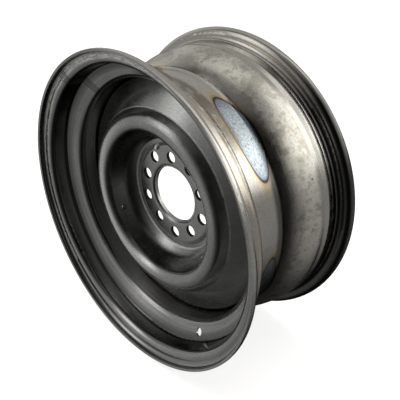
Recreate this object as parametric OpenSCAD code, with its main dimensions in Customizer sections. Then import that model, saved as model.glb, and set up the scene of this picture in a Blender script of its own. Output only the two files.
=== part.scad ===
// Steel road wheel with a one-piece rolled rim and a pressed centre disc, welded together.
// The axle lies along Y: the outer face looks to -Y, the vehicle side to +Y, and +Z is up.
// The origin is the middle of the hub bore, in the plane where the disc seats on the hub.
// Sections are drawn in the plane of the axle as [radius, distance behind the hub plane].

/* [Rim] */
// Bead seat diameter, taken at the flange wall
bead_seat_d = 405.6; // [380:0.1:430]
// Width between the two flange walls, where the tyre sits
rim_width = 177.8; // [165:0.1:200]
// Thickness of the rolled rim sheet
rim_sheet = 3.2; // [2.6:0.1:4]
// Height of a flange above the bead seat
flange_height = 17.3; // [16:0.1:19]
// Radius of the flange's curled crest, on the tyre side
curl_radius = 9.5; // [8:0.1:10]
// Angle through which the lip is curled, from the flange wall to its cut edge
curl_turn = 108; // [100:1:125]
// Straight end of the curled lip
lip_straight = 0.6; // [0.5:0.1:2]
// Fillet between the flange wall and the bead seat, on the tyre side
seat_fillet = 6.5; // [5:0.1:8]
// Taper of the bead seats
seat_taper = 5; // [4:0.1:6]
// Height of the ridge that keeps a tyre bead on its seat
hump_height = 1.3; // [0.8:0.1:2]
// Width of that ridge
hump_width = 14; // [12:0.1:18]
// Bend radius along that ridge
hump_bend = 6; // [4:0.5:10]

/* [Well] */
// Diameter of the well floor, on the tyre side
well_d = 355.2; // [340:0.1:370]
// Length of the well floor between its two corners
floor_length = 52.5; // [46:0.5:60]
// Steepness of the well's front wall against the axle
wall_angle = 62; // [50:1:70]
// Width of the front bead seat, from the flange wall to the well
front_seat_width = 26.5; // [24:0.1:30]
// Width of the rear bead seat and its ledge, from the flange wall to the well
rear_seat_width = 35; // [32:0.5:40]
// Bend radius where the front wall leaves the seat
seat_corner_bend = 4.4; // [3:0.1:6]
// Bend radius where the front wall meets the floor
floor_corner_bend = 9.6; // [6:0.1:14]
// Length of the rear slope's flat upper part, along the axle
rear_top_run = 31.4; // [26:0.1:36]
// How far that part still climbs, up to the rear seat
rear_top_rise = 4.4; // [3:0.1:6]
// Bend radius where the floor rises into the rear slope
rear_foot_bend = 9.6; // [6:0.1:14]
// Bend radius of the rear slope's long rounded shoulder
rear_shoulder_bend = 74; // [50:1:90]
// Bend radius where the rear slope meets the rear seat
rear_ridge_bend = 9; // [5:0.5:14]

/* [Centre disc] */
// Thickness of the disc
disc_sheet = 5; // [4:0.1:6]
// Distance from the hub plane to the edge of the rear flange
backspace = 109.8; // [100:0.1:118]
// Diameter of the bore for the hub
hub_bore_d = 82.6; // [74:0.1:88]
// Diameter of the hub pad, at the crease around it
pad_d = 168; // [160:0.5:172]
// Steepness of the foot of the bowl, where it leaves the pad
foot_angle = 42; // [35:1:50]
// Height of the foot, where the bowl's wall turns steeper
foot_rise = 11; // [8:0.5:13]
// Diameter where the bowl's wall reaches the raised ring
crest_inner_d = 213.6; // [208:0.2:213.8]
// Diameter where the raised ring falls away to the outer cone
crest_outer_d = 244; // [243.8:0.2:250]
// Height of the raised ring above the pad
crest_rise = 46; // [40:0.5:52]
// Diameter of the crease outside the raised ring
crease_d = 266.2; // [262:0.2:272]
// Height of that crease above the pad
crease_rise = 32; // [26:0.5:38]
// Length of the disc's outer lip, which is pressed into the well
disc_lip = 9.5; // [8:0.5:14]
// Gap left between the disc's lip and the well
lip_fit = 0.05; // [0.02:0.01:0.2]
// Bend radius at the crease around the pad
pad_bend = 5; // [4:0.5:8]
// Bend radius where the bowl's foot turns into its wall
foot_bend = 30; // [20:1:36]
// Bend radius at the inner shoulder of the raised ring
inner_shoulder_bend = 12; // [8:0.5:12]
// Bend radius at the outer shoulder of the raised ring
outer_shoulder_bend = 13; // [8:0.5:13]
// Bend radius at the crease outside the raised ring
crease_bend = 6.5; // [5:0.5:8]
// Bend radius where the outer cone turns into the lip
lip_bend = 5.5; // [4:0.5:8]

/* [Bolt land] */
// Height of the raised land that carries the bolt holes, above the rest of the pad
land_rise = 3; // [2:0.1:4]
// Width of the flat ring around the bore, up to the foot of the land
bore_ring = 2.2; // [2:0.1:4]
// Width of the step from that ring up to the land
land_inner_step = 2.7; // [2.6:0.1:4]
// Diameter where the land begins to fall
land_outer_d = 142; // [140:0.1:146]
// Diameter where the land is back on the pad
land_outer_foot_d = 153; // [150:0.1:156]
// Bend radius along the land's inner edge
land_inner_bend = 2.7; // [2.6:0.1:3]
// Bend radius along the land's outer edge
land_outer_bend = 4; // [3:0.1:5]
// Radius of the round dent in the land's outer edge, at its foot
dent_radius = 4; // [3:0.1:6]
// How much wider the dent is at the face of the land
dent_flare = 5; // [2:0.1:6]
// Clock position of that dent
dent_clock = 334; // [0:0.1:360]

/* [Bolt holes] */
// Bolts in each of the two circles
bolt_count = 5; // [4:1:6]
// Diameter of the smaller bolt circle
small_bolt_circle = 114.3; // [108:0.05:116]
// Diameter of the larger bolt circle
large_bolt_circle = 120.65; // [118:0.05:127]
// Diameter of a bolt hole
bolt_hole_d = 17; // [14:0.1:19]
// Clock position of the first hole of the larger circle
bolt_clock = 321.6; // [0:0.1:360]

/* [Hub cap nubs] */
// Number of pressed nubs that hold a hub cap
nub_count = 3; // [3:1:5]
// Clock position of the first nub
nub_clock = 242.5; // [0:0.1:360]
// Height of the nubs above the pad
nub_rise = 28; // [22:0.5:34]
// Radius of a nub's round head
nub_radius = 3.8; // [3.3:0.1:4]
// How far a nub stands out of the bowl's wall
nub_proud = 2.7; // [2.2:0.1:3.4]
// Radius of the punch mark behind a nub
punch_radius = 2.8; // [2.2:0.1:3.2]
// Depth of the punch mark behind a nub
punch_depth = 2.2; // [1.5:0.1:2.6]

/* [Valve hole] */
// Diameter of the valve hole in the well's front wall
valve_hole_d = 11.5; // [10:0.1:16]
// Clock position of the valve hole
valve_clock = 149.6; // [0:0.1:360]

/* [Disc welds] */
// Number of fillet welds between disc and rim
weld_count = 5; // [4:1:8]
// Clock position of the middle of the first weld
weld_clock = 45; // [0:0.1:360]
// Angle that one weld covers
weld_span = 34; // [20:1:40]
// Leg of the weld fillet
weld_leg = 4.6; // [3:0.1:5]
// Length of bare well floor between a weld and the foot of the rear slope
weld_to_slope = 5.2; // [2:0.1:8]

/* [Hidden] */
$fn = 96;
// Straight stretches run this far into the bends, which are thicker by a hair on each side
lap = 0.2;
bend_proud = 0.01;
// The dent's floor stands this far in front of the pad
dent_proud = 0.3;
half_rim = rim_sheet / 2;
half_disc = disc_sheet / 2;

// Rim, along the axle
curl_mid = curl_radius - half_rim;
lip_over_crest = curl_mid * sin(curl_turn - 90) + lip_straight * cos(curl_turn - 90);
flange_width = curl_radius + lip_over_crest + half_rim * sin(curl_turn - 90);
rear_wall_z = backspace - flange_width;
front_wall_z = rear_wall_z - rim_width;

// Rim, across the axle, on the tyre side
seat_r = bead_seat_d / 2;
crest_r = seat_r + flange_height;
well_r = well_d / 2;
function seat_at(distance) = seat_r - distance * tan(seat_taper);

// Middle of the sheet at the corners of the rim, from the front lip to the rear lip
mid_drop = half_rim / cos(seat_taper);
floor_mid_r = well_r - half_rim;
curl_corner_r = crest_r - curl_radius + curl_mid * tan(curl_turn / 2);
curl_reach = curl_mid * tan(curl_turn / 2) + lip_straight;
lip_end_r = curl_corner_r - curl_reach * cos(180 - curl_turn);
lip_end_step = curl_reach * sin(180 - curl_turn);
front_wall_mid = front_wall_z - half_rim;
rear_wall_mid = rear_wall_z + half_rim;
hump_foot_front = front_seat_width - hump_width / 2;
front_crest_mid_r = seat_at(front_seat_width) + hump_height - mid_drop;
front_crest_mid_z = front_wall_z + front_seat_width - half_rim * tan(wall_angle / 2);
wall_run = (front_crest_mid_r - floor_mid_r) / tan(wall_angle);
floor_front_z = front_crest_mid_z + wall_run;
floor_rear_z = floor_front_z + floor_length;
rear_ledge_z = rear_wall_z - rear_seat_width;
rear_hump = front_seat_width - hump_width / 2;
ledge_mid_r = seat_at(rear_hump + hump_width / 2) - mid_drop;

// The rear slope is steep at its foot and nearly flat above its shoulder
shoulder_mid_r = ledge_mid_r - rear_top_rise;
shoulder_mid_z = rear_ledge_z - rear_top_run;
slope_foot = [shoulder_mid_z - floor_rear_z, shoulder_mid_r - floor_mid_r];
slope_foot_angle = atan2(slope_foot.y, slope_foot.x);
slope_top_angle = atan2(rear_top_rise, rear_top_run);

// The rounded shoulder is as large as the slope leaves room for, past the bend at its foot
foot_setback = rear_foot_bend * tan(abs(slope_foot_angle) / 2);
shoulder_room = norm(slope_foot) - foot_setback - 2 * lap;
shoulder_turn = abs(slope_foot_angle - slope_top_angle);
shoulder_bend = min(rear_shoulder_bend, shoulder_room / tan(shoulder_turn / 2));
RIM_PATH = [
    [lip_end_r, front_wall_mid - lip_end_step, 0],
    [curl_corner_r, front_wall_mid, curl_mid],
    [seat_at(-half_rim) - mid_drop, front_wall_mid, seat_fillet + half_rim],
    [seat_at(hump_foot_front) - mid_drop, front_wall_z + hump_foot_front, hump_bend],
    [front_crest_mid_r, front_crest_mid_z, seat_corner_bend],
    [floor_mid_r, floor_front_z, floor_corner_bend],
    [floor_mid_r, floor_rear_z, rear_foot_bend],
    [shoulder_mid_r, shoulder_mid_z, shoulder_bend],
    [ledge_mid_r, rear_ledge_z, rear_ridge_bend],
    [ledge_mid_r, rear_wall_z - rear_hump - hump_width / 2, hump_bend],
    [ledge_mid_r + hump_height, rear_wall_z - rear_hump, hump_bend],
    [seat_at(rear_hump - hump_width / 2) - mid_drop, rear_wall_z - rear_hump + hump_width / 2, hump_bend],
    [seat_at(-half_rim) - mid_drop, rear_wall_mid, seat_fillet + half_rim],
    [curl_corner_r, rear_wall_mid, curl_mid],
    [lip_end_r, rear_wall_mid + lip_end_step, 0]
];

// The well floor stays straight as far as the bend at the rear slope's foot
floor_end_z = floor_rear_z - foot_setback;

// Disc: the lip fits the well, and its edge leaves room for the weld
well_inside_r = well_r - rim_sheet;
lip_mid_r = well_inside_r - lip_fit - half_disc;
lip_edge_z = floor_end_z - weld_leg - weld_to_slope;
pad_mid_z = -half_disc;
land_mid_z = pad_mid_z - land_rise;
land_inner_foot_r = hub_bore_d / 2 + bore_ring;
foot_r = pad_d / 2 + foot_rise / tan(foot_angle);
DISC_PATH = [
    [hub_bore_d / 2, pad_mid_z, 0],
    [land_inner_foot_r, pad_mid_z, land_inner_bend],
    [land_inner_foot_r + land_inner_step, land_mid_z, land_inner_bend],
    [land_outer_d / 2, land_mid_z, land_outer_bend],
    [land_outer_foot_d / 2, pad_mid_z, land_outer_bend],
    [pad_d / 2, pad_mid_z, pad_bend],
    [foot_r, pad_mid_z - foot_rise, foot_bend],
    [crest_inner_d / 2, pad_mid_z - crest_rise, inner_shoulder_bend],
    [crest_outer_d / 2, pad_mid_z - crest_rise, outer_shoulder_bend],
    [crease_d / 2, pad_mid_z - crease_rise, crease_bend],
    [lip_mid_r, lip_edge_z - disc_lip, lip_bend],
    [lip_mid_r, lip_edge_z, 0]
];

// Nubs sit on the straight part of the bowl's wall, which starts at this corner
BOWL = 6;
bowl_front = -left(heading(DISC_PATH, BOWL));
bowl_share = (nub_rise - foot_rise) / (crest_rise - foot_rise);
nub_seat = corner(DISC_PATH[BOWL]) * (1 - bowl_share) + corner(DISC_PATH[BOWL + 1]) * bowl_share;
nub_middle = nub_seat + bowl_front * (half_disc + nub_proud - nub_radius);
punch_middle = nub_seat - bowl_front * (half_disc + punch_radius - punch_depth);

// The valve hole goes square through the middle of the well's front wall
valve_seat = (corner(RIM_PATH[4]) + corner(RIM_PATH[5])) / 2;

function unit(v) = v / norm(v);
function left(v) = [-v.y, v.x];
function corner(p) = [p.x, p.y];
function heading(path, i) = unit(corner(path[i + 1]) - corner(path[i]));
function turn(path, i) =
    let (a = heading(path, i - 1), b = heading(path, i))
    atan2(cross(a, b), a * b);
function is_end(path, i) = i == 0 || i == len(path) - 1;
function setback(path, i) = is_end(path, i) ? 0 : path[i][2] * tan(abs(turn(path, i)) / 2);
function trim(path, i) = is_end(path, i) ? 0 : setback(path, i) - lap;

// One straight stretch of a sheet's section, between the bends at its two ends
module straight_stretch(path, i, sheet) {
    along = heading(path, i);
    across = left(along) * sheet / 2;
    from = corner(path[i]) + along * trim(path, i);
    to = corner(path[i + 1]) - along * trim(path, i + 1);
    polygon([from + across, to + across, to - across, from - across]);
}

// One bend of a sheet's section: a piece of a ring between two straight stretches
module bend(path, i, sheet) {
    radius = path[i][2];
    side = sign(turn(path, i));
    from = corner(path[i]) - heading(path, i - 1) * setback(path, i);
    middle = from + left(heading(path, i - 1)) * side * radius;
    first = -left(heading(path, i - 1)) * side;
    last = -left(heading(path, i)) * side;
    reach = 2 * (radius + sheet);
    translate(middle) intersection() {
        difference() {
            circle(radius + sheet / 2 + bend_proud);
            circle(radius - sheet / 2 - bend_proud);
        }
        polygon([[0, 0], first * reach, unit(first + last) * reach, last * reach]);
    }
}

// A round sheet whose section follows the middle of the sheet from corner to corner
module turned_sheet(path, sheet) {
    for (i = [0 : len(path) - 2])
        rotate_extrude() straight_stretch(path, i, sheet);
    for (i = [1 : len(path) - 2])
        rotate_extrude() bend(path, i, sheet);
}

// Turns a shape drawn about Z so that its axis lies along the axle
module on_axle() {
    rotate([-90, 0, 0]) children();
}

// Places a shape at a clock position, seen from the front, with X pointing away from the axle
module at_clock(position) {
    rotate([0, 0, position - 90]) children();
}

module valve_hole() {
    hole_length = 4 * rim_sheet;
    at_clock(valve_clock)
        translate([valve_seat.x, 0, valve_seat.y])
            rotate([0, 90 - wall_angle, 0])
                cylinder(d = valve_hole_d, h = hole_length, center = true);
}

module bolt_circle(diameter, first_clock) {
    for (i = [0 : bolt_count - 1])
        at_clock(first_clock + i * 360 / bolt_count)
            translate([diameter / 2, 0, -2 * disc_sheet])
                cylinder(d = bolt_hole_d, h = 3 * disc_sheet);
}

module nub_parts(middle, radius) {
    for (i = [0 : nub_count - 1])
        at_clock(nub_clock + i * 360 / nub_count)
            translate([middle.x, 0, middle.y])
                rotate([90, 0, 0])
                    sphere(radius);
}

// A round bite with sloping sides out of the land's outer edge, down to the level of the pad
module land_dent() {
    depth = land_rise - dent_proud;
    flare = dent_flare / depth;
    height = depth + bend_proud + lap;
    at_clock(dent_clock)
        translate([land_outer_foot_d / 2, 0, -disc_sheet - dent_proud - height])
            cylinder(r1 = dent_radius + flare * height, r2 = dent_radius, h = height);
}

module rim() {
    color("darkgray") on_axle() difference() {
        turned_sheet(RIM_PATH, rim_sheet);
        valve_hole();
    }
}

module centre_disc() {
    color("dimgray") on_axle() difference() {
        union() {
            turned_sheet(DISC_PATH, disc_sheet);
            nub_parts(nub_middle, nub_radius);
        }
        nub_parts(punch_middle, punch_radius);
        land_dent();
        bolt_circle(large_bolt_circle, bolt_clock);
        bolt_circle(small_bolt_circle, bolt_clock + 180 / bolt_count);
    }
}

// One fillet weld: a round bead in the corner between the disc's edge and the well
module weld_bead() {
    rotate([0, 0, -weld_span / 2]) rotate_extrude(angle = weld_span)
        translate([well_inside_r, lip_edge_z]) intersection() {
            circle(weld_leg);
            translate([-weld_leg, 0]) square(weld_leg);
        }
}

module disc_welds() {
    color("slategray") on_axle()
        for (i = [0 : weld_count - 1])
            at_clock(weld_clock + i * 360 / weld_count) weld_bead();
}

rim();
centre_disc();
disc_welds();
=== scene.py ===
"""A bare steel road wheel: a rolled drop-centre rim with a pressed centre disc welded inside it.

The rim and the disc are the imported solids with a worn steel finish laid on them. The five welds are
made again here as rippled beads, and low ridges mark the rim's trimmed butt weld. Lengths are in
metres, but places in the finishes are in millimetres. The axle is the Y axis, with the front at -Y.
Clock positions are degrees round the axle, clockwise from the top as seen from the front.
"""
import math

import bmesh
import bpy
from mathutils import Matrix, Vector
from mathutils.bvhtree import BVHTree


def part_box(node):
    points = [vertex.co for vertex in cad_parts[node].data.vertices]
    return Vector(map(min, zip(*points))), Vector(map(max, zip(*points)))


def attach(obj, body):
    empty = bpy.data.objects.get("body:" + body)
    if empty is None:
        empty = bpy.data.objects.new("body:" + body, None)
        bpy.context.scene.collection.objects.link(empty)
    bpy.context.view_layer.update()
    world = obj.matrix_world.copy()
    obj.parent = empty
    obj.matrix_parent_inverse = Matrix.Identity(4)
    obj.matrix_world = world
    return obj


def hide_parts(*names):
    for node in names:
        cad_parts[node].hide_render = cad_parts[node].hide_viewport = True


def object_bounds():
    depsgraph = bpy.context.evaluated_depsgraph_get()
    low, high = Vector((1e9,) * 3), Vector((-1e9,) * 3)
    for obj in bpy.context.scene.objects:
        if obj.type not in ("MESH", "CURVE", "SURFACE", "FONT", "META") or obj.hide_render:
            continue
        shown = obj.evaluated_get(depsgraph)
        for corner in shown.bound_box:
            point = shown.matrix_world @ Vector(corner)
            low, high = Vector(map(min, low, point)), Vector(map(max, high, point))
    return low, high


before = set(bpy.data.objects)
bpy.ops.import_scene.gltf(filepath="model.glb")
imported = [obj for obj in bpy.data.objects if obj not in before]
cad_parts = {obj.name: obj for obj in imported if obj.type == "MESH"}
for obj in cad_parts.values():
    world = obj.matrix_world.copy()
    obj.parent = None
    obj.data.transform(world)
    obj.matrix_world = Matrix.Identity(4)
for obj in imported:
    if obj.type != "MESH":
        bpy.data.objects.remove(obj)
cad_low, cad_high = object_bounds()

MM = 0.001
FLOOR_Z = cad_low.z

# Welds behind the disc: a bead's size swells with each ripple, sways slowly and runs out at its ends
WELD_COUNT = 5
FIRST_WELD_CLOCK = 45.0
WELD_PITCH = 360.0 / WELD_COUNT
WELD_SPAN = 34.0
WELD_RIPPLES = 24
WELD_RIPPLE_SHARE = 0.10
WELD_SWAY_SHARE = 0.03
WELD_SWAY_HALF_WAVES = 5.1
WELD_END_POWER = 10
WELD_LEAST_SHARE = 0.08
WELD_STEPS = 240
WELD_FACE_STEPS = 10

# Ridges on the rim's trimmed butt weld: their places and half width are degrees of clock
SEAM_CLOCK = 320.7
SEAM_OFFSETS = (-1.9, -0.6, 0.7, 1.8)
SEAM_HALF = 0.28
SEAM_HEIGHT = 0.35 * MM
SEAM_SINK = 0.05 * MM
SEAM_STEPS = 70
# In front and at the rear: an eye point, then the first and the last point that it looks at,
# each as a radius and a place along the axle in millimetres
SEAM_VIEWS = (
    ((160.0, -118.0), (217.5, -91.0), (177.0, -44.0)),
    ((150.0, 140.0), (217.5, 107.0), (177.0, 12.0)))

# Stretches along the axle in millimetres, with the front below zero
FRONT_SEAT = (-82.0, -52.0)
SEAT_CORNER = (-60.0, -50.0)
BESIDE_LENS = (-62.0, -15.0)
WELL_SHADE = (3.0, 11.0)
WELL_BEND = (11.6, 12.8)
REAR_SLOPE = (20.0, 64.0)
RIM_MIDDLE = 8.0

# Rings on the wheel, as radii in millimetres
STUD_RING = (46.5, 72.0)
PAD_EDGE = (82.4, 84.8)
BOWL_WALL = (90.0, 112.0)
RAISED_RING = (106.0, 124.0)
CREASE = (134.3, 135.6)
FLANGE_FACE = (205.5, 215.5)

# Where something starts and where it is full: first along the axle, then as radii, in millimetres
CLEAN_REAR = (0.0, 20.0)
DARKER_TOWARDS_FRONT = (10.0, -10.0)
FLANGE_FRONT = (-79.0, -82.0)
REAR_FLANGE = (86.5, 89.5)
DISC_EDGE = (158.0, 170.0)
CORNER_SHADE_RAMP = (182.0, 197.0)
WELL_DEPTH = (190.0, 184.0)
FLANGE_FOOT = (200.0, 205.0)
BELOW_FLANGE = (204.0, 199.0)

# Sides of the wheel: a clock position, then the cosines off it at which a mark starts and is full
SCUFF_SIDE = (330.0, 0.0, 0.7)
BURN_SIDE = (26.0, 0.88, 0.975)
SHADE_SIDE = (105.0, 0.35, 0.8)
FLANGE_SHADE_SIDE = (115.0, 0.10, 0.42)
CREST_HIGHLIGHT_SIDE = (255.0, 0.0, 0.8)
CREASE_HIGHLIGHT_SIDE = (30.0, -0.3, 0.7)
PAD_HIGHLIGHT_SIDE = (225.0, -0.2, 0.6)

# Colours of the rim's inside
RIM_OILED = ((0.36, 0.358, 0.35), (0.56, 0.555, 0.542))
RIM_CLEAN = (0.72, 0.715, 0.70)
# Darker on faces towards the axle; the deeper dark is painted shade in the front seat's corner and also
# darkens the disc's bowl walls
RIM_DARK_TOWARDS_AXLE = (0.13, 0.13, 0.127)
CORNER_SHADE_AND_BOWL_DARK = (0.10, 0.10, 0.098)
SCUFFED = (0.95, 0.935, 0.90)

# Colours of the rim's tyre side
RIM_BARE = ((0.48, 0.465, 0.43), (0.70, 0.665, 0.61))
SEAT_STAIN = (0.60, 0.51, 0.39)
SLOPE_SCALE = ((0.52, 0.485, 0.42), (0.88, 0.845, 0.755))
SLOPE_PATCH = (0.44, 0.41, 0.355)
RUST = (0.30, 0.215, 0.125)
PIT = (0.09, 0.065, 0.045)
SCRATCH = (0.33, 0.31, 0.28)
BURNT = (0.20, 0.165, 0.12)
WELL_DARK = (0.055, 0.058, 0.065)
BEND_DARK = (0.07, 0.065, 0.06)
# Painted shade on the rear flange
REAR_FLANGE_SHADE_PAINT = (0.075, 0.075, 0.075)

# Colours of the disc, of the welds and of the trimmed seam
DISC_OILED = ((0.36, 0.363, 0.35), (0.54, 0.543, 0.525))
# Painted shade in the stud holes' walls
HOLE_SHADE_PAINT = (0.025, 0.025, 0.025)
WELD_SOOT = (0.16, 0.115, 0.075)
# Painted highlights: on the raised ring, and along the crease and the pad's edge
PAINTED_CREST_HIGHLIGHT = (0.93, 0.93, 0.90)
PAINTED_LINE_HIGHLIGHT = (0.95, 0.95, 0.93)
WELD_TINTS = ((0.20, 0.20, 0.22), (0.33, 0.29, 0.24))
SEAM_TINTS = ((0.05, 0.05, 0.05), (0.14, 0.138, 0.132))

# Least and most roughness of each finish, and what a mark adds to it
RIM_ROUGH = (0.11, 0.19)
DISC_ROUGH = (0.20, 0.28)
WELD_ROUGH = (0.28, 0.42)
SEAM_ROUGH = (0.25, 0.40)
SLOPE_ROUGHER = 0.14
SCUFF_ROUGHER = 0.25
LINE_ROUGHER = 0.35
HOLE_ROUGHER = 0.4

# Heat mark behind each weld, a lens: its middle and half width along the axle, its half span of clock
LENS_LINE = -3.6
LENS_HALF = 17.3
LENS_HALF_TURN = 19.7
LENS_VEIL = (0.27, 0.32, 0.36)
LENS_FLECK = (0.12, 0.135, 0.15)
# How far out from the lens's middle, with 1 at its edge, and the colour that the heat left there
HEAT_BANDS = (
    (0.00, (0.60, 0.635, 0.65)), (0.70, (0.53, 0.575, 0.60)), (0.89, (0.41, 0.45, 0.48)),
    (0.945, (0.22, 0.23, 0.26)), (0.975, (0.05, 0.04, 0.05)), (1.00, (0.11, 0.075, 0.07)),
    (1.035, (0.50, 0.39, 0.27)), (1.12, (0.66, 0.57, 0.41)), (1.30, (0.64, 0.60, 0.52)),
    (1.50, (0.60, 0.575, 0.53)))

# Patches of light that the steel mirrors, in degrees: azimuth, half width, side blur, low, high,
# low blur and high blur, then brightness
ROOM_DARK = (0.014, 0.014, 0.014)
ROOM_LIGHT = {
    "ceiling": (0.0, 180.0, 1.0, 62.0, 90.0, 16.0, 1.0, 0.20),
    "wall at the rear left": (125.0, 60.0, 22.0, 2.0, 90.0, 8.0, 1.0, 0.40),
    "window at the rear right": (38.0, 38.0, 22.0, 10.0, 52.0, 16.0, 18.0, 1.10),
    "brightest pane": (58.0, 20.0, 10.0, 7.0, 33.0, 6.0, 9.0, 1.10),
    "floor under the window": (35.0, 34.0, 24.0, -48.0, 6.0, 24.0, 12.0, 0.26),
    "narrow light straight behind": (86.0, 8.0, 6.0, -20.0, 12.0, 6.0, 4.0, 0.90),
    "light above the window": (72.0, 22.0, 14.0, 46.0, 66.0, 8.0, 10.0, 0.45),
    "wall at the front left": (-142.0, 50.0, 20.0, -34.0, 40.0, 14.0, 25.0, 0.34),
    "floor at the front left": (-142.0, 48.0, 24.0, -64.0, -34.0, 16.0, 14.0, 0.20),
    "high lamp at the front": (-126.0, 20.0, 12.0, 30.0, 60.0, 11.0, 10.0, 0.75),
    "tall lamp at the front": (-124.0, 9.0, 8.0, 6.0, 40.0, 9.0, 10.0, 0.75),
    "dim wall in front": (-84.0, 14.0, 20.0, -55.0, 60.0, 20.0, 20.0, 0.08)}
LIGHT_BLUE_SHARE = 0.98
BACKDROP = (0.93, 0.93, 0.93)

# Floor and lamp
FLOOR_SIZE = 60.0
PAPER_COLOUR = (0.34, 0.33, 0.315, 1.0)
PAPER_ROUGH = 0.9
PAPER_GLOW = (1.0, 1.0, 1.0, 1.0)
PAPER_GLOW_STRENGTH = 0.84
LAMP_PLACE = (-0.4, -0.2, 2.2)
LAMP_SIZE = 3.0
LAMP_POWER = 70.0

# Camera: sensor and lens in millimetres, shift as a share of the picture, tilt and turn in degrees
CAMERA_PLACE = (0.48904, -0.4383, 0.35231)
CAMERA_TILT = 66.12
CAMERA_TURN = 44.954
CAMERA_SENSOR = 36.0
CAMERA_LENS = 46.63
CAMERA_SHIFT_X = -0.0059
CAMERA_SHIFT_Y = -0.1168
CAMERA_NEAR = 0.01


def feed(tree, socket, value):
    """Wires a socket into an input, or sets the input to a plain value."""
    if isinstance(value, bpy.types.NodeSocket):
        tree.links.new(value, socket)
    elif socket.type == "RGBA" and len(value) == 3:
        socket.default_value = (*value, 1.0)
    else:
        socket.default_value = value


def calc(tree, operation, *values):
    """One step of arithmetic on numbers or sockets."""
    node = tree.nodes.new("ShaderNodeMath")
    node.operation = operation
    for socket, value in zip(node.inputs, values):
        feed(tree, socket, value)
    return node.outputs[0]


def rise(tree, value, start, end, low=0.0, high=1.0):
    """Goes smoothly from low to high while value goes from start to end."""
    node = tree.nodes.new("ShaderNodeMapRange")
    node.interpolation_type = "SMOOTHSTEP"
    names = ("Value", "From Min", "From Max", "To Min", "To Max")
    for name, number in zip(names, (value, start, end, low, high)):
        feed(tree, node.inputs[name], number)
    return node.outputs["Result"]


def within(tree, value, span, blur):
    """1 between the two ends of span, falling to 0 over blur on each side."""
    low, high = span
    above = rise(tree, value, low - blur, low + blur)
    below = rise(tree, value, high + blur, high - blur)
    return calc(tree, "MULTIPLY", above, below)


def times(tree, *shares):
    """The product of several masks."""
    product = shares[0]
    for share in shares[1:]:
        product = calc(tree, "MULTIPLY", product, share)
    return product


def mix(tree, share, first, second, blend="MIX"):
    """Blends two colours."""
    node = tree.nodes.new("ShaderNodeMix")
    node.data_type = "RGBA"
    node.blend_type = blend
    for index, value in ((0, share), (6, first), (7, second)):
        feed(tree, node.inputs[index], value)
    return node.outputs[2]


def lay(tree, under, over, mask, cover):
    """Lays a colour over another one where a mask is, at a share of full cover."""
    return mix(tree, calc(tree, "MULTIPLY", mask, cover), under, over)


def vector(tree, x, y, z):
    """Three numbers as one vector."""
    node = tree.nodes.new("ShaderNodeCombineXYZ")
    for socket, value in zip(node.inputs, (x, y, z)):
        feed(tree, socket, value)
    return node.outputs[0]


def scale_colour(tree, colour, factor):
    """Brightens or dims a colour by a factor that changes over the surface."""
    return mix(tree, 1.0, colour, vector(tree, factor, factor, factor), "MULTIPLY")


def noise(tree, place, scale, detail, rough, w=None):
    """Soft random values, in three dimensions or, with w, in four."""
    node = tree.nodes.new("ShaderNodeTexNoise")
    node.noise_dimensions = "3D" if w is None else "4D"
    feed(tree, node.inputs["Vector"], place)
    if w is not None:
        feed(tree, node.inputs["W"], w)
    node.inputs["Scale"].default_value = scale
    node.inputs["Detail"].default_value = detail
    node.inputs["Roughness"].default_value = rough
    return node.outputs["Fac"]


def start_group(name, takes, gives):
    """A shader node group. takes and gives are (name, socket kind) pairs."""
    tree = bpy.data.node_groups.new(name, "ShaderNodeTree")
    for label, kind in takes:
        tree.interface.new_socket(label, in_out="INPUT", socket_type="NodeSocket" + kind)
    for label, kind in gives:
        tree.interface.new_socket(label, in_out="OUTPUT", socket_type="NodeSocket" + kind)
    return tree, tree.nodes.new("NodeGroupInput").outputs, tree.nodes.new("NodeGroupOutput").inputs


def use_group(tree, group, at=(), **values):
    """Places a group. Inputs named as a place on the wheel come from at, and the others from values."""
    node = tree.nodes.new("ShaderNodeGroup")
    node.node_tree = group
    for socket in node.inputs:
        if socket.name in at:
            tree.links.new(at[socket.name], socket)
    for name, value in values.items():
        feed(tree, node.inputs[name.replace("_", " ")], value)
    return node.outputs


def wheel_place_group():
    """Where a point lies on the wheel, in millimetres and degrees of clock, and which way it faces."""
    tree, _, out = start_group(
        "wheel place", [],
        [("Radius", "Float"), ("Clock", "Float"), ("Along", "Float"), ("Across", "Float"), ("Up", "Float"),
         ("Outward", "Float"), ("Rearward", "Float"), ("Place", "Vector")])
    coords = tree.nodes.new("ShaderNodeTexCoord")
    point = tree.nodes.new("ShaderNodeSeparateXYZ")
    facing = tree.nodes.new("ShaderNodeSeparateXYZ")
    tree.links.new(coords.outputs["Object"], point.inputs[0])
    tree.links.new(coords.outputs["Normal"], facing.inputs[0])
    x, y, z = point.outputs
    radius = calc(tree, "SQRT", calc(tree, "MULTIPLY_ADD", x, x, calc(tree, "MULTIPLY", z, z)))
    across = calc(tree, "DIVIDE", x, radius)
    up = calc(tree, "DIVIDE", z, radius)
    face_x, face_y, face_z = facing.outputs
    outward = calc(tree, "MULTIPLY_ADD", face_x, across, calc(tree, "MULTIPLY", face_z, up))
    turn = calc(tree, "DEGREES", calc(tree, "ARCTAN2", x, z))
    tree.links.new(calc(tree, "DIVIDE", radius, MM), out["Radius"])
    tree.links.new(calc(tree, "FLOORED_MODULO", turn, 360.0), out["Clock"])
    tree.links.new(calc(tree, "DIVIDE", y, MM), out["Along"])
    tree.links.new(across, out["Across"])
    tree.links.new(up, out["Up"])
    tree.links.new(outward, out["Outward"])
    tree.links.new(face_y, out["Rearward"])
    tree.links.new(coords.outputs["Object"], out["Place"])
    return tree


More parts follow.
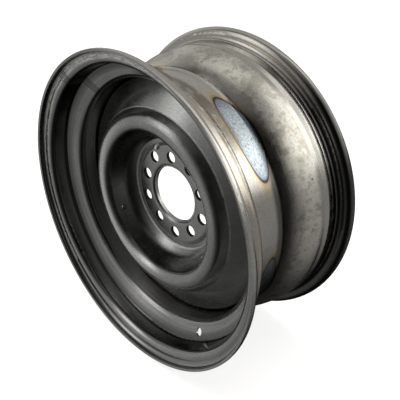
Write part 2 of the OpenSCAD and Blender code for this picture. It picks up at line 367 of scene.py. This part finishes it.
def rolled_lines_group():
    """Lines round the wheel: fine and broad ones that rolls leave, and the short broken ones of scuffs."""
    tree, got, out = start_group(
        "rolled lines",
        [("Radius", "Float"), ("Along", "Float"), ("Across", "Float"), ("Up", "Float")],
        [("Fine", "Float"), ("Broad", "Float"), ("Broken", "Float")])
    # Lines per millimetre across the sheet, and changes along each line per radian
    for label, pitch, turn in (("Fine", 1.6, 2.2), ("Broad", 0.28, 1.3), ("Broken", 0.9, 20.0)):
        place = vector(
            tree,
            calc(tree, "MULTIPLY", got["Radius"], pitch),
            calc(tree, "MULTIPLY", got["Along"], pitch),
            calc(tree, "MULTIPLY", got["Across"], turn))
        lines = noise(tree, place, 1.0, 3.0, 0.6, calc(tree, "MULTIPLY", got["Up"], turn))
        tree.links.new(lines, out[label])
    return tree


def heat_ramp(tree, reach):
    """The heat's colour at a reach from the lens's middle."""
    band = tree.nodes.new("ShaderNodeValToRGB")
    elements = band.color_ramp.elements
    last_reach = HEAT_BANDS[-1][0]
    while len(elements) < len(HEAT_BANDS):
        elements.new(0.5)
    for element, (place, colour) in zip(elements, HEAT_BANDS):
        element.position = place / last_reach
        element.color = (*colour, 1.0)
    tree.links.new(calc(tree, "DIVIDE", reach, last_reach), band.inputs[0])
    return band.outputs["Color"]


def heat_tint_group():
    """The lens-shaped heat marks that the five welds leave in the sheet behind them."""
    tree, got, out = start_group(
        "heat tint", [("Clock", "Float"), ("Along", "Float"), ("Place", "Vector")],
        [("Colour", "Color"), ("Share", "Float"), ("Weld off", "Float")])
    turn = calc(tree, "ADD", got["Clock"], WELD_PITCH / 2 - FIRST_WELD_CLOCK)
    off = calc(tree, "SUBTRACT", calc(tree, "FLOORED_MODULO", turn, WELD_PITCH), WELD_PITCH / 2)
    off = calc(tree, "ABSOLUTE", off)
    round_part = calc(tree, "POWER", calc(tree, "DIVIDE", off, LENS_HALF_TURN), 2.0)
    aside = calc(tree, "DIVIDE", calc(tree, "SUBTRACT", got["Along"], LENS_LINE), LENS_HALF)
    reach = calc(tree, "SQRT", calc(tree, "ADD", round_part, calc(tree, "MULTIPLY", aside, aside)))
    waver = noise(tree, got["Place"], 60.0, 2.0, 0.5)
    reach = calc(tree, "MULTIPLY_ADD", calc(tree, "SUBTRACT", waver, 0.5), 0.06, reach)
    colour = heat_ramp(tree, reach)
    inside = rise(tree, reach, 0.97, 0.85)
    round_way = vector(
        tree, calc(tree, "MULTIPLY", got["Clock"], 0.75), calc(tree, "MULTIPLY", got["Along"], 0.55), 0.0)
    streaks = noise(tree, round_way, 1.0, 5.0, 0.7)
    veil = times(tree, rise(tree, streaks, 0.36, 0.58), inside)
    colour = lay(tree, colour, LENS_VEIL, veil, 0.75)
    flecks = times(tree, rise(tree, streaks, 0.57, 0.64), inside)
    colour = lay(tree, colour, LENS_FLECK, flecks, 0.8)
    tree.links.new(colour, out["Colour"])
    tree.links.new(rise(tree, reach, 1.5, 1.2), out["Share"])
    tree.links.new(off, out["Weld off"])
    return tree


def oil_film_group():
    """Uneven oil and handling marks: broad clouds, smaller blots and a fine grain."""
    tree, got, out = start_group(
        "oil film", [("Place", "Vector")], [("Clouds", "Float"), ("Blots", "Float"), ("Grain", "Float")])
    for label, scale, detail in (("Clouds", 14.0, 4.0), ("Blots", 70.0, 5.0), ("Grain", 520.0, 2.0)):
        tree.links.new(noise(tree, got["Place"], scale, detail, 0.6), out[label])
    return tree


def specks_group():
    """Scattered small round spots, such as rust pits or splashes."""
    tree, got, out = start_group(
        "specks",
        [("Place", "Vector"), ("Spacing", "Float"), ("Share kept", "Float")],
        [("Share", "Float")])
    cells = tree.nodes.new("ShaderNodeTexVoronoi")
    tree.links.new(got["Place"], cells.inputs["Vector"])
    tree.links.new(calc(tree, "DIVIDE", 1.0, got["Spacing"]), cells.inputs["Scale"])
    luck = tree.nodes.new("ShaderNodeSeparateColor")
    tree.links.new(cells.outputs["Color"], luck.inputs[0])
    size = calc(tree, "MULTIPLY_ADD", luck.outputs[1], 0.16, 0.08)
    spot = rise(tree, cells.outputs["Distance"], size, calc(tree, "MULTIPLY", size, 0.4))
    kept = calc(tree, "LESS_THAN", luck.outputs[0], got["Share kept"])
    tree.links.new(times(tree, spot, kept), out["Share"])
    return tree


WHEEL_PLACE = wheel_place_group()
ROLLED_LINES = rolled_lines_group()
HEAT_TINT = heat_tint_group()
OIL_FILM = oil_film_group()
SPECKS = specks_group()


def start_steel(name):
    """A bare steel finish to build on: its material, its nodes and its shader."""
    material = bpy.data.materials.new(name)
    material.use_nodes = True
    tree = material.node_tree
    shader = tree.nodes["Principled BSDF"]
    shader.inputs["Metallic"].default_value = 1.0
    return material, tree, shader


def add_bump(tree, shader, layers):
    """Stacks bumps on a shader. Each layer is a height with its strength and its depth in metres."""
    normal = None
    for height, strength, depth in layers:
        node = tree.nodes.new("ShaderNodeBump")
        node.inputs["Strength"].default_value = strength
        node.inputs["Distance"].default_value = depth
        tree.links.new(height, node.inputs["Height"])
        if normal is not None:
            tree.links.new(normal, node.inputs["Normal"])
        normal = node.outputs[0]
    tree.links.new(normal, shader.inputs["Normal"])


def towards(tree, at, side):
    """1 on one side of the wheel, fading to 0 round it."""
    clock, start, full = side
    turn = math.radians(clock)
    aside = calc(tree, "MULTIPLY", at["Across"], math.sin(turn))
    return rise(tree, calc(tree, "MULTIPLY_ADD", at["Up"], math.cos(turn), aside), start, full)


def rim_inside(tree, at, lines, film):
    """Dark oiled steel, and the share of it that is scuffed bright along the front flange."""
    colour = mix(tree, film["Clouds"], *RIM_OILED)
    colour = scale_colour(tree, colour, rise(tree, lines["Broad"], 0.3, 0.7, 0.82, 1.16))
    colour = mix(tree, rise(tree, at["Along"], *CLEAN_REAR), colour, RIM_CLEAN)
    # Darker on the faces that turn towards the axle, more so towards the front
    facing_axle = rise(tree, at["Outward"], -0.72, -0.97)
    darker_facing_axle = times(tree, facing_axle, rise(tree, at["Along"], *DARKER_TOWARDS_FRONT))
    colour = lay(tree, colour, RIM_DARK_TOWARDS_AXLE, darker_facing_axle, 0.75)
    # Painted shade: darker towards the corner where the front seat turns into the well, in place of the
    # shading of the sloped ring's form
    corner = within(tree, at["Along"], SEAT_CORNER, 3.0)
    corner = times(tree, corner, rise(tree, at["Radius"], *CORNER_SHADE_RAMP))
    colour = lay(tree, colour, CORNER_SHADE_AND_BOWL_DARK, corner, 0.75)
    on_flange = within(tree, at["Radius"], FLANGE_FACE, 1.5)
    on_flange = times(tree, on_flange, rise(tree, at["Along"], *FLANGE_FRONT))
    scuffs = rise(tree, lines["Broken"], 0.43, 0.60)
    scuffed = times(tree, on_flange, scuffs, towards(tree, at, SCUFF_SIDE))
    return mix(tree, scuffed, colour, SCUFFED), scuffed


def rear_slope(tree, at, lines, film):
    """The slope's stained scale: beige on grey in clouds, with rust freckles, pits and fine scratches."""
    cloud = calc(tree, "MULTIPLY_ADD", film["Clouds"], 0.6, calc(tree, "MULTIPLY", film["Blots"], 0.4))
    colour = mix(tree, rise(tree, cloud, 0.42, 0.53), *SLOPE_SCALE)
    colour = lay(tree, colour, SLOPE_PATCH, rise(tree, film["Blots"], 0.55, 0.63), 0.5)
    freckles = use_group(tree, SPECKS, at, Spacing=4.5 * MM, Share_kept=0.34)
    rusty = times(tree, freckles["Share"], rise(tree, film["Clouds"], 0.46, 0.58))
    colour = lay(tree, colour, RUST, rusty, 0.75)
    pits = use_group(tree, SPECKS, at, Spacing=11.0 * MM, Share_kept=0.16)
    colour = mix(tree, pits["Share"], colour, PIT)
    return lay(tree, colour, SCRATCH, rise(tree, lines["Broken"], 0.62, 0.70), 0.45)


def rim_outside(tree, at, lines, film, heat):
    """The tyre's side: bare steel, a stained front seat, a scaled slope, heat marks, and painted shade in
    the well's bend and on the rear flange.
    """
    colour = mix(tree, film["Clouds"], *RIM_BARE)
    on_seat = within(tree, at["Along"], FRONT_SEAT, 3.0)
    stain = times(tree, on_seat, rise(tree, film["Blots"], 0.35, 0.60))
    colour = lay(tree, colour, SEAT_STAIN, stain, 0.5)
    on_slope = within(tree, at["Along"], REAR_SLOPE, 8.0)
    colour = mix(tree, on_slope, colour, rear_slope(tree, at, lines, film))
    in_well = rise(tree, at["Radius"], *WELL_DEPTH)
    colour = mix(tree, times(tree, in_well, heat["Share"]), colour, heat["Colour"])
    burnt = times(tree, within(tree, at["Along"], BESIDE_LENS, 3.0), towards(tree, at, BURN_SIDE))
    burnt = times(tree, burnt, rise(tree, film["Blots"], 0.28, 0.52))
    colour = lay(tree, colour, BURNT, burnt, 0.75)
    shaded = times(tree, in_well, within(tree, at["Along"], WELL_SHADE, 5.0))
    shaded = times(tree, shaded, towards(tree, at, SHADE_SIDE))
    colour = lay(tree, colour, WELL_DARK, shaded, 0.85)
    bend_line = times(tree, in_well, within(tree, at["Along"], WELL_BEND, 0.6))
    bend_line = times(tree, bend_line, rise(tree, lines["Broken"], 0.40, 0.56))
    colour = lay(tree, colour, BEND_DARK, bend_line, 0.8)
    # Painted shade: the rear flange darkened round one side of the wheel, standing in for the dark
    # reflection it shows
    flange_shade = times(tree, rise(tree, at["Along"], *REAR_FLANGE), towards(tree, at, FLANGE_SHADE_SIDE))
    return lay(tree, colour, REAR_FLANGE_SHADE_PAINT, flange_shade, 0.9), on_slope


def rim_steel():
    """The rim's finish, which differs on the two faces of its sheet."""
    material, tree, shader = start_steel("rolled rim steel")
    at = use_group(tree, WHEEL_PLACE)
    lines = use_group(tree, ROLLED_LINES, at)
    heat = use_group(tree, HEAT_TINT, at)
    film = use_group(tree, OIL_FILM, at)
    # The sheet turns outward at the flanges, so there its tyre side faces the rim's middle
    flange = rise(tree, at["Radius"], *FLANGE_FOOT)
    end = calc(tree, "SIGN", calc(tree, "SUBTRACT", at["Along"], RIM_MIDDLE))
    tyre_side = calc(tree, "SUBTRACT", at["Outward"], times(tree, end, flange, at["Rearward"]))
    tyre_share = rise(tree, tyre_side, -0.1, 0.1)

    inside, scuffed = rim_inside(tree, at, lines, film)
    outside, on_slope = rim_outside(tree, at, lines, film, heat)
    colour = mix(tree, tyre_share, inside, outside)
    colour = scale_colour(tree, colour, rise(tree, film["Grain"], 0.2, 0.8, 0.86, 1.12))
    tree.links.new(colour, shader.inputs["Base Color"])

    rough = rise(tree, film["Blots"], 0.3, 0.7, *RIM_ROUGH)
    rough = calc(tree, "MULTIPLY_ADD", times(tree, on_slope, tyre_share), SLOPE_ROUGHER, rough)
    bare_inside = times(tree, scuffed, calc(tree, "SUBTRACT", 1.0, tyre_share))
    rough = calc(tree, "MULTIPLY_ADD", bare_inside, SCUFF_ROUGHER, rough)
    tree.links.new(rough, shader.inputs["Roughness"])
    rolled = times(tree, lines["Broad"], rise(tree, at["Radius"], *BELOW_FLANGE))
    add_bump(tree, shader, (
        (rolled, 0.22, 0.4 * MM), (lines["Fine"], 0.16, 0.12 * MM), (film["Grain"], 0.10, 0.1 * MM)))
    return material


def disc_steel():
    """The disc's finish: oiled, darker on its bowl's walls, sooty at the welds, with painted shade in its
    stud holes and painted highlights on its ring and edges.
    """
    material, tree, shader = start_steel("pressed disc steel")
    at = use_group(tree, WHEEL_PLACE)
    lines = use_group(tree, ROLLED_LINES, at)
    film = use_group(tree, OIL_FILM, at)
    heat = use_group(tree, HEAT_TINT, at)
    colour = mix(tree, film["Clouds"], *DISC_OILED)
    # Painted shade: the walls of the stud holes, where they are seen edge-on, darkened almost to black
    edge_on = rise(tree, calc(tree, "ABSOLUTE", at["Rearward"]), 0.45, 0.2)
    shaded_hole_walls = times(tree, edge_on, within(tree, at["Radius"], STUD_RING, 0.5))
    colour = mix(tree, shaded_hole_walls, colour, HOLE_SHADE_PAINT)
    near_weld = times(tree, rise(tree, heat["Weld off"], 19.0, 8.0), rise(tree, at["Radius"], *DISC_EDGE))
    colour = lay(tree, colour, WELD_SOOT, near_weld, 0.6)
    # Darker on the bowl's walls that face the axle
    facing_axle = rise(tree, at["Outward"], -0.70, -0.93)
    darker_facing_axle = times(tree, facing_axle, within(tree, at["Radius"], BOWL_WALL, 2.0))
    colour = lay(tree, colour, CORNER_SHADE_AND_BOWL_DARK, darker_facing_axle, 0.5)

    in_front = rise(tree, at["Rearward"], 0.0, -0.3)
    # Painted highlight: the raised ring lightened on one side of the wheel
    crest_highlight = times(tree, in_front, within(tree, at["Radius"], RAISED_RING, 5.0))
    crest_highlight = times(tree, crest_highlight, towards(tree, at, CREST_HIGHLIGHT_SIDE))
    colour = lay(tree, colour, PAINTED_CREST_HIGHLIGHT, crest_highlight, 0.8)
    # Painted highlights: bright dashed lines along the crease and the pad's edge, on one side of the wheel
    crease_highlight = times(tree, in_front, within(tree, at["Radius"], CREASE, 0.7))
    crease_highlight = times(tree, crease_highlight, towards(tree, at, CREASE_HIGHLIGHT_SIDE), rise(tree, lines["Broken"], 0.25, 0.5))
    colour = lay(tree, colour, PAINTED_LINE_HIGHLIGHT, crease_highlight, 0.9)
    pad_edge_highlight = times(tree, in_front, within(tree, at["Radius"], PAD_EDGE, 0.6))
    pad_edge_highlight = times(tree, pad_edge_highlight, towards(tree, at, PAD_HIGHLIGHT_SIDE))
    colour = lay(tree, colour, PAINTED_LINE_HIGHLIGHT, pad_edge_highlight, 0.85)
    colour = scale_colour(tree, colour, rise(tree, film["Grain"], 0.2, 0.8, 0.82, 1.16))
    tree.links.new(colour, shader.inputs["Base Color"])

    rough = rise(tree, film["Blots"], 0.3, 0.7, *DISC_ROUGH)
    rough = calc(tree, "MULTIPLY_ADD", calc(tree, "MAXIMUM", crease_highlight, pad_edge_highlight), LINE_ROUGHER, rough)
    rough = calc(tree, "MULTIPLY_ADD", shaded_hole_walls, HOLE_ROUGHER, rough)
    tree.links.new(rough, shader.inputs["Roughness"])
    add_bump(tree, shader, ((film["Blots"], 0.10, 0.6 * MM), (film["Grain"], 0.18, 0.25 * MM)))
    return material


def blotted_steel(name, tints, least_and_most_rough):
    """The finish of a small piece: two tints in blots, with a fine grain."""
    material, tree, shader = start_steel(name)
    at = use_group(tree, WHEEL_PLACE)
    film = use_group(tree, OIL_FILM, at)
    colour = mix(tree, rise(tree, film["Blots"], 0.35, 0.65), *tints)
    tree.links.new(colour, shader.inputs["Base Color"])
    rough = rise(tree, film["Grain"], 0.3, 0.7, *least_and_most_rough)
    tree.links.new(rough, shader.inputs["Roughness"])
    add_bump(tree, shader, ((film["Grain"], 0.2, 0.2 * MM),))
    return material


def dress(node, material):
    """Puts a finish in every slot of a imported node."""
    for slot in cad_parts[node].material_slots:
        slot.material = material


def on_wheel(radius, clock, along):
    """A point at a radius, at a clock position and at a place along the axle."""
    turn = math.radians(clock)
    return Vector((radius * math.sin(turn), along, radius * math.cos(turn)))


def add_piece(name, mesh, material):
    """Makes a shaded piece of a bmesh, which rides on the wheel."""
    data = bpy.data.meshes.new(name)
    bmesh.ops.recalc_face_normals(mesh, faces=mesh.faces)
    mesh.to_mesh(data)
    mesh.free()
    data.shade_smooth()
    data.materials.append(material)
    piece = bpy.data.objects.new(name, data)
    bpy.context.collection.objects.link(piece)
    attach(piece, "root")
    return piece


def weld_ring(mesh, corner_r, edge_y, leg, clock, lean):
    """One cut across a weld: the corner under it, then its round face from the well to the disc's edge."""
    ring = [mesh.verts.new(on_wheel(corner_r, clock, edge_y))]
    for step in range(WELD_FACE_STEPS + 1):
        share = step / WELD_FACE_STEPS
        angle = share * math.pi / 2
        crescent = clock - lean * math.sin(share * math.pi)
        ring.append(mesh.verts.new(on_wheel(
            corner_r - leg * math.sin(angle), crescent, edge_y + leg * math.cos(angle))))
    return ring


def weld_share(share, weld):
    """A bead's size at a share of its length, as a share of the whole leg."""
    ripple = (share * WELD_RIPPLES) % 1.0
    sway = math.sin(WELD_SWAY_HALF_WAVES * share * math.pi + weld)
    run_out = (1.0 - abs(2.0 * share - 1.0) ** WELD_END_POWER) ** 0.5
    swell = 1.0 - WELD_RIPPLE_SHARE + WELD_RIPPLE_SHARE * ripple ** 0.5 + WELD_SWAY_SHARE * sway
    return max(swell * run_out, WELD_LEAST_SHARE)


def weld_beads():
    """The five welds behind the disc, each a row of overlapping ripples that runs out at both ends."""
    weld_low, weld_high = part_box("disc_welds")
    corner_r = -weld_low.x
    leg = weld_high.y - weld_low.y
    lean = 0.5 * WELD_SPAN / WELD_RIPPLES
    mesh = bmesh.new()
    for weld in range(WELD_COUNT):
        middle = FIRST_WELD_CLOCK + weld * WELD_PITCH
        rings = []
        for step in range(WELD_STEPS + 1):
            share = step / WELD_STEPS
            clock = middle + (share - 0.5) * WELD_SPAN
            size = leg * weld_share(share, weld)
            rings.append(weld_ring(mesh, corner_r, weld_low.y, size, clock, lean))
        for first, second in zip(rings, rings[1:]):
            for corner in range(len(first)):
                beside = (corner + 1) % len(first)
                mesh.faces.new((first[corner], first[beside], second[beside], second[corner]))
        mesh.faces.new(rings[0])
        mesh.faces.new(rings[-1])
    finish = blotted_steel("heat-tinted weld", WELD_TINTS, WELD_ROUGH)
    beads = add_piece("weld_beads", mesh, finish)
    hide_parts("disc_welds")


def seam_line(surface, clock, eye_r, eye_y, aims):
    """Where the sheet lies along one clock position, seen from an eye point, and the way it faces there."""
    eye = on_wheel(eye_r, clock, eye_y)
    line = []
    for aim_r, aim_y in aims:
        way = (on_wheel(aim_r, clock, aim_y) - eye).normalized()
        place, facing, _, _ = surface.ray_cast(eye, way)
        if facing.dot(way) > 0:
            facing = -facing
        line.append((place, facing))
    return line


def seam_ridges():
    """Low ridges that the trimming tool left on the butt weld across the rim's sheet."""
    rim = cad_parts["rim"]
    surface = BVHTree.FromPolygons(
        [vertex.co for vertex in rim.data.vertices], [tuple(face.vertices) for face in rim.data.polygons])
    mesh = bmesh.new()
    for (eye_r, eye_y), first, last in SEAM_VIEWS:
        aims = []
        for step in range(SEAM_STEPS + 1):
            share = step / SEAM_STEPS
            aims.append(tuple(MM * (a + (b - a) * share) for a, b in zip(first, last)))
        for offset in SEAM_OFFSETS:
            rows = []
            for aside, height in ((-SEAM_HALF, -SEAM_SINK), (0.0, SEAM_HEIGHT), (SEAM_HALF, -SEAM_SINK)):
                line = seam_line(surface, SEAM_CLOCK + offset + aside, MM * eye_r, MM * eye_y, aims)
                rows.append([mesh.verts.new(place + facing * height) for place, facing in line])
            for one, other in zip(rows, rows[1:]):
                for step in range(SEAM_STEPS):
                    mesh.faces.new((one[step], one[step + 1], other[step + 1], other[step]))
    finish = blotted_steel("trimmed seam steel", SEAM_TINTS, SEAM_ROUGH)
    add_piece("seam_ridges", mesh, finish)


def light_patch_group():
    """One soft-edged patch of light in the surroundings, placed by azimuth and elevation in degrees."""
    tree, got, out = start_group(
        "light patch",
        [("Direction", "Vector"), ("Azimuth", "Float"), ("Low", "Float"), ("High", "Float"),
         ("Half width", "Float"), ("Side blur", "Float"), ("Low blur", "Float"), ("High blur", "Float"),
         ("Colour", "Color"), ("Below", "Color")],
        [("Colour", "Color")])
    parts = tree.nodes.new("ShaderNodeSeparateXYZ")
    tree.links.new(got["Direction"], parts.inputs[0])
    x, y, z = parts.outputs
    azimuth = calc(tree, "DEGREES", calc(tree, "ARCTAN2", y, x))
    turned = calc(tree, "ADD", calc(tree, "SUBTRACT", azimuth, got["Azimuth"]), 180.0)
    aside = calc(tree, "SUBTRACT", calc(tree, "FLOORED_MODULO", turned, 360.0), 180.0)
    aside = calc(tree, "ABSOLUTE", aside)
    height = calc(tree, "DEGREES", calc(tree, "ARCSINE", z))
    edges = (
        (aside, got["Half width"], got["Side blur"], -1.0),
        (height, got["Low"], got["Low blur"], 1.0),
        (height, got["High"], got["High blur"], -1.0))
    share = 1.0
    for value, edge, blur, sense in edges:
        reach = calc(tree, "MULTIPLY", blur, sense)
        inside = rise(tree, value, calc(tree, "SUBTRACT", edge, reach), calc(tree, "ADD", edge, reach))
        share = calc(tree, "MULTIPLY", inside, share)
    tree.links.new(mix(tree, share, got["Below"], got["Colour"], "ADD"), out["Colour"])
    return tree


def surroundings():
    """What the steel mirrors: a dark room with a window behind the wheel and softer light on the left."""
    world = bpy.data.worlds.new("photo room")
    bpy.context.scene.world = world
    world.use_nodes = True
    tree = world.node_tree
    coords = tree.nodes.new("ShaderNodeTexCoord")
    direction = tree.nodes.new("ShaderNodeVectorMath")
    direction.operation = "NORMALIZE"
    tree.links.new(coords.outputs["Generated"], direction.inputs[0])
    patch = light_patch_group()
    colour = ROOM_DARK
    for azimuth, half, side_blur, low, high, low_blur, high_blur, bright in ROOM_LIGHT.values():
        lit = use_group(
            tree, patch, Direction=direction.outputs[0], Azimuth=azimuth, Half_width=half,
            Side_blur=side_blur, Low=low, High=high, Low_blur=low_blur, High_blur=high_blur,
            Colour=(bright, bright, LIGHT_BLUE_SHARE * bright), Below=colour)
        colour = lit["Colour"]
    rays = tree.nodes.new("ShaderNodeLightPath")
    colour = mix(tree, rays.outputs["Is Camera Ray"], colour, BACKDROP)
    tree.links.new(colour, tree.nodes["Background"].inputs["Color"])


def floor_and_lamp():
    """A bright white sweep that the wheel stands on. The steel mirrors the room instead of it."""
    bpy.ops.mesh.primitive_plane_add(size=FLOOR_SIZE, location=(0.0, 0.0, FLOOR_Z))
    floor = bpy.context.object
    floor.name = "white_floor"
    floor.visible_glossy = False
    paper = bpy.data.materials.new("lit white paper")
    paper.use_nodes = True
    shader = paper.node_tree.nodes["Principled BSDF"]
    shader.inputs["Base Color"].default_value = PAPER_COLOUR
    shader.inputs["Roughness"].default_value = PAPER_ROUGH
    shader.inputs["Specular IOR Level"].default_value = 0.0
    shader.inputs["Emission Color"].default_value = PAPER_GLOW
    shader.inputs["Emission Strength"].default_value = PAPER_GLOW_STRENGTH
    floor.data.materials.append(paper)
    lamp = bpy.data.lights.new("overhead softbox", "AREA")
    lamp.shape = "DISK"
    lamp.size = LAMP_SIZE
    lamp.energy = LAMP_POWER
    softbox = bpy.data.objects.new("overhead_softbox", lamp)
    softbox.location = LAMP_PLACE
    softbox.visible_glossy = False
    bpy.context.collection.objects.link(softbox)


def camera():
    """The camera, which sees the wheel from the front right and from above."""
    data = bpy.data.cameras.new("photo camera")
    data.sensor_width = CAMERA_SENSOR
    data.lens = CAMERA_LENS
    data.shift_x = CAMERA_SHIFT_X
    data.shift_y = CAMERA_SHIFT_Y
    data.clip_start = CAMERA_NEAR
    eye = bpy.data.objects.new("photo_camera", data)
    eye.location = CAMERA_PLACE
    eye.rotation_euler = (math.radians(CAMERA_TILT), 0.0, math.radians(CAMERA_TURN))
    bpy.context.collection.objects.link(eye)
    bpy.context.scene.camera = eye


dress("rim", rim_steel())
dress("centre_disc", disc_steel())
weld_beads()
seam_ridges()
surroundings()
floor_and_lamp()
camera()
bpy.context.scene.view_settings.view_transform = "Standard"
